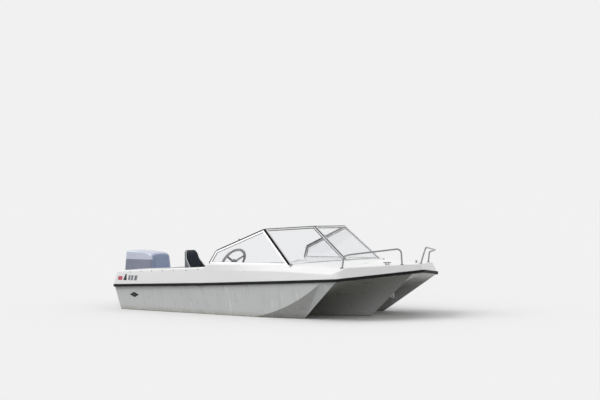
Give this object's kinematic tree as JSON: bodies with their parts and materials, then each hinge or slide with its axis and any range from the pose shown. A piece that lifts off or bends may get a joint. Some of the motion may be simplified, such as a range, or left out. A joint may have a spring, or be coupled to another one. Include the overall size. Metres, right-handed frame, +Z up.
{
  "type": "open sports boat with outboard motor",
  "caption": "Open runabout with a cathedral hull, raked windscreen, bow rails and a bucket helm seat, driven by an outboard motor that tilts and steers.",
  "frame": {"origin": "on the centreline, on the waterline, below the after end of the rub rail", "axes": "+X forward to the bow, +Y to port, +Z up"},
  "size_m": [6.209, 2.1, 1.9519],
  "materials": {
    "hull_gelcoat": "gloss",
    "deck_gelcoat": "gloss",
    "rail_rubber": "satin",
    "frame_aluminium": "bright anodised",
    "screen_glass": "clear",
    "gasket_rubber": "matte",
    "stainless": "polished",
    "panel_plastic": "matte",
    "control_plastic": "satin",
    "seat_metal": "satin",
    "seat_shell_plastic": "satin",
    "seat_vinyl": "satin",
    "motor_paint": "gloss",
    "motor_paint_dark": "satin",
    "cowl_plastic": "gloss",
    "engine_metal": "cast",
    "prop_metal": "painted"
  },
  "bodies": {
    "hull": {"hull": "hull_gelcoat", "deck": "deck_gelcoat", "rub_rail": "rail_rubber", "cockpit_liner": "deck_gelcoat", "screen_frame_side_starboard": "frame_aluminium", "screen_frame_side_port": "frame_aluminium", "screen_frame_front_starboard": "frame_aluminium", "screen_frame_front_port": "frame_aluminium", "screen_pane_side_starboard": "screen_glass", "screen_pane_side_port": "screen_glass", "screen_pane_front_starboard": "screen_glass", "screen_pane_front_port": "screen_glass", "screen_gasket": "gasket_rubber", "bow_rail_starboard": "stainless", "bow_rail_port": "stainless", "bow_cleat_starboard": "stainless", "bow_cleat_port": "stainless", "bow_eye": "stainless", "stern_eye_starboard": "stainless", "stern_eye_port": "stainless", "dash_panel": "panel_plastic", "steering_column": "control_plastic", "throttle_control": "control_plastic", "helm_seat_pedestal": "seat_metal", "helm_seat_shell": "seat_shell_plastic", "helm_seat_cushion": "seat_vinyl", "helm_seat_back_cushion": "seat_vinyl", "passenger_seat_base": "deck_gelcoat", "passenger_seat_cushion": "seat_vinyl", "aft_bench_base": "deck_gelcoat", "aft_bench_cushion": "seat_vinyl", "aft_bench_back_cushion": "seat_vinyl", "clamp_brackets": "motor_paint_dark", "tilt_tube": "stainless", "tilt_cylinder": "motor_paint_dark"},
    "tilt_bracket": {"swivel_bracket": "motor_paint_dark"},
    "motor": {"leg_housing": "motor_paint", "gearcase": "motor_paint", "cowl_lower": "cowl_plastic", "cowl_upper": "cowl_plastic", "powerhead": "engine_metal"},
    "propeller": {"propeller": "prop_metal"},
    "steering_wheel": {"steering_wheel": "control_plastic"},
    "tilt_rod": {"tilt_cylinder_rod": "stainless"}
  },
  "joints": [
    {"name": "outboard_tilt", "type": "hinge", "parent": "hull", "child": "tilt_bracket", "pos_m": [-0.012, 0, 0.272], "axis": [0, 1, 0], "range_deg": [0, 65]},
    {"name": "outboard_steer", "type": "hinge", "parent": "tilt_bracket", "child": "motor", "pos_m": [-0.135, 0, 0.1], "axis": [0, 0, 1], "range_deg": [-30, 30]},
    {"name": "propeller_spin", "type": "hinge", "parent": "motor", "child": "propeller", "pos_m": [-0.6, 0, -0.47], "axis": [1, 0, 0], "continuous": true},
    {"name": "helm_wheel", "type": "hinge", "parent": "hull", "child": "steering_wheel", "pos_m": [2.2, -0.525, 0.746], "axis": [0.8387, 0, -0.5446], "range_deg": [-540, 540]},
    {"name": "tilt_cylinder_slide", "type": "slide", "parent": "hull", "child": "tilt_rod", "axis": [-0.326, 0, 0.9454], "range_m": [0, 0.04574]}
  ],
  "couplings": [
    {"joint": "helm_wheel", "follows": "outboard_steer", "ratio": 18},
    {"joint": "tilt_cylinder_slide", "follows": "outboard_tilt", "m_per_rad": 0.040232}
  ]
}
